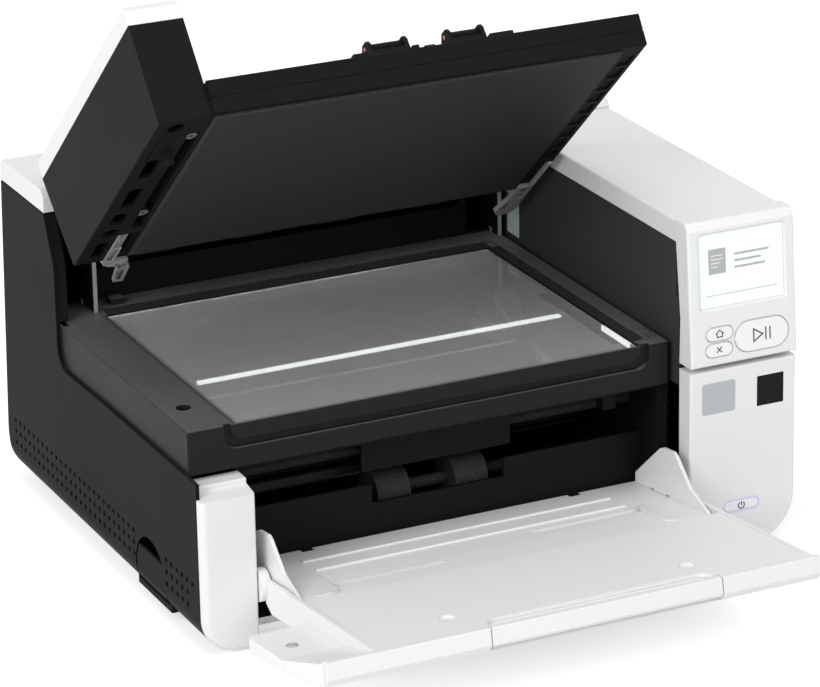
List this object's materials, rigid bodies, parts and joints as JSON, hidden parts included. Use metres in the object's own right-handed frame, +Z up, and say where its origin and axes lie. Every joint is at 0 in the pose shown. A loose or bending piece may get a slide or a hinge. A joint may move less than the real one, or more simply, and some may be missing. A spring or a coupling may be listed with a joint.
{
  "type": "flatbed document scanner",
  "caption": "Desktop document scanner with an open flatbed lid, glass bed, fold-down paper tray with sliding guides, and a small touch screen with keys.",
  "frame": {"origin": "on the table under the middle of the machine, at the middle of its width and of its length from the front of the open tray to the foot of the back", "axes": "+X to the machine's right seen from the front, +Y to the rear, +Z up"},
  "size_m": [0.432, 0.5264, 0.4059],
  "materials": {
    "black_shell": "satin, finely textured",
    "white_shell": "satin",
    "inner_black": "matte",
    "glass": "polished",
    "steel": "satin",
    "cast_grey": "cast, satin",
    "rubber": "matte",
    "pad_sheet": "matte sheet",
    "foam": "speckled foam",
    "screen": "lit screen",
    "lamp": "clear light guide",
    "glow_ring": "lit ring",
    "reference_white": "white strip",
    "belt": "toothed belt",
    "motor": "satin",
    "board": "circuit board",
    "grey_plastic": "satin"
  },
  "bodies": {
    "base": {"base_pan": "steel", "feet": "rubber", "left_side_panel": "black_shell", "right_side_panel": "black_shell", "rear_cover": "black_shell", "rear_sockets": "inner_black", "tower_cap": "white_shell", "tower_front": "inner_black", "left_pillar": "white_shell", "right_lower_panel": "white_shell", "power_ring": "glow_ring", "display_bezel": "white_shell", "display_screen": "screen", "arm_inner_wall": "black_shell", "arm_top_cover": "white_shell", "flatbed_bezel": "black_shell", "flatbed_tub": "inner_black", "flatbed_glass": "glass", "reference_strip": "reference_white", "carriage_rod": "steel", "drive_belts": "belt", "drive_motors": "motor", "hinge_frames": "cast_grey", "hinge_pins": "steel", "feeder_chassis": "inner_black", "paper_guides": "inner_black", "scan_bars": "inner_black", "main_board": "board"},
    "lid": {"lid_shell": "black_shell", "output_panel": "black_shell", "stop_pins": "steel", "lid_arm_body": "black_shell", "lid_arm_cap": "white_shell", "backing_pad": "pad_sheet", "pad_foam": "foam", "hinge_arm_left": "cast_grey", "hinge_arm_right": "cast_grey", "lid_screws": "steel"},
    "stop_left": {"output_stop_left": "black_shell"},
    "stop_right": {"output_stop_right": "black_shell"},
    "tray": {"input_tray": "white_shell", "tray_cover": "white_shell", "tray_screws": "steel"},
    "extender": {"tray_extender": "white_shell"},
    "elevator": {"elevator_plate": "white_shell"},
    "paper_guide_left": {"guide_left": "white_shell"},
    "paper_guide_right": {"guide_right": "white_shell"},
    "pinion": {"guide_pinion": "grey_plastic"},
    "carriage": {"scan_carriage": "inner_black", "lamp_bar": "lamp"},
    "feed": {"feed_roller": "rubber"},
    "separation": {"separation_roller": "rubber"},
    "drive": {"drive_roller": "rubber"},
    "pinch": {"pinch_roller": "rubber"},
    "exit": {"exit_roller": "rubber"},
    "home_key": {"home_button": "white_shell"},
    "cancel_key": {"cancel_button": "white_shell"},
    "start_key": {"start_button": "white_shell"},
    "power_key": {"power_button": "white_shell"},
    "paddle": {"side_paddle": "black_shell"}
  },
  "joints": [
    {"name": "lid_hinge", "type": "hinge", "parent": "base", "child": "lid", "pos_m": [0, 0.2033, 0.21965], "axis": [1, 0, 0], "range_deg": [0, 41.5]},
    {"name": "output_stop_left_flip", "type": "hinge", "parent": "lid", "child": "stop_left", "pos_m": [-0.052, -0.02665, 0.36694], "axis": [1, 0, 0], "range_deg": [0, 95]},
    {"name": "output_stop_right_flip", "type": "hinge", "parent": "lid", "child": "stop_right", "pos_m": [0.003, -0.02665, 0.36694], "axis": [1, 0, 0], "range_deg": [0, 95]},
    {"name": "tray_fold", "type": "hinge", "parent": "base", "child": "tray", "pos_m": [0, -0.0853, 0.043], "axis": [-1, 0, 0], "range_deg": [0, 83]},
    {"name": "extender_slide", "type": "slide", "parent": "tray", "child": "extender", "axis": [0, -0.9929, 0.1186], "range_m": [0, 0.06]},
    {"name": "elevator_lift", "type": "slide", "parent": "base", "child": "elevator", "axis": [0, 0, -1], "range_m": [0, 0.02]},
    {"name": "guide_left_slide", "type": "slide", "parent": "elevator", "child": "paper_guide_left", "axis": [1, 0, 0], "range_m": [0, 0.095]},
    {"name": "guide_right_slide", "type": "slide", "parent": "elevator", "child": "paper_guide_right", "axis": [-1, 0, 0], "range_m": [0, 0.095]},
    {"name": "pinion_spin", "type": "hinge", "parent": "elevator", "child": "pinion", "pos_m": [-0.0215, -0.10574, 0.04051], "axis": [0, 0.1186, 0.9929], "range_deg": [0, 681]},
    {"name": "carriage_slide", "type": "slide", "parent": "base", "child": "carriage", "axis": [0, 1, 0], "range_m": [-0.06, 0.115]},
    {"name": "feed_spin", "type": "hinge", "parent": "base", "child": "feed", "pos_m": [0, -0.008, 0.0882], "axis": [1, 0, 0], "continuous": true},
    {"name": "separation_spin", "type": "hinge", "parent": "base", "child": "separation", "pos_m": [0, -0.008, 0.0558], "axis": [1, 0, 0], "continuous": true},
    {"name": "drive_spin", "type": "hinge", "parent": "base", "child": "drive", "pos_m": [0, 0.06, 0.0818], "axis": [1, 0, 0], "continuous": true},
    {"name": "pinch_spin", "type": "hinge", "parent": "base", "child": "pinch", "pos_m": [0, 0.06, 0.0622], "axis": [1, 0, 0], "continuous": true},
    {"name": "exit_spin", "type": "hinge", "parent": "base", "child": "exit", "pos_m": [0, 0.2005, 0.1802], "axis": [1, 0, 0], "continuous": true},
    {"name": "home_press", "type": "slide", "parent": "base", "child": "home_key", "axis": [0, 0.9969, -0.0789], "range_m": [0, 0.001], "stiffness_N_per_m": 600, "springref_m": -0.001},
    {"name": "cancel_press", "type": "slide", "parent": "base", "child": "cancel_key", "axis": [0, 0.9969, -0.0789], "range_m": [0, 0.001], "stiffness_N_per_m": 600, "springref_m": -0.001},
    {"name": "start_press", "type": "slide", "parent": "base", "child": "start_key", "axis": [0, 0.9969, -0.0789], "range_m": [0, 0.001], "stiffness_N_per_m": 600, "springref_m": -0.001},
    {"name": "power_press", "type": "slide", "parent": "base", "child": "power_key", "axis": [0, 1, 0], "range_m": [0, 0.001], "stiffness_N_per_m": 600, "springref_m": -0.001},
    {"name": "paddle_pull", "type": "hinge", "parent": "base", "child": "paddle", "pos_m": [-0.209, -0.001, 0.0175], "axis": [0, -1, 0], "range_deg": [0, 18], "stiffness_Nm_per_rad": 0.03, "springref_deg": -17.19}
  ],
  "couplings": [
    {"joint": "guide_right_slide", "follows": "guide_left_slide", "ratio": 1},
    {"joint": "pinion_spin", "follows": "guide_left_slide", "rad_per_m": 125},
    {"joint": "separation_spin", "follows": "feed_spin", "ratio": -1.0127},
    {"joint": "drive_spin", "follows": "feed_spin", "ratio": 1.6667},
    {"joint": "pinch_spin", "follows": "feed_spin", "ratio": -1.6667},
    {"joint": "exit_spin", "follows": "feed_spin", "ratio": 1.6667}
  ]
}
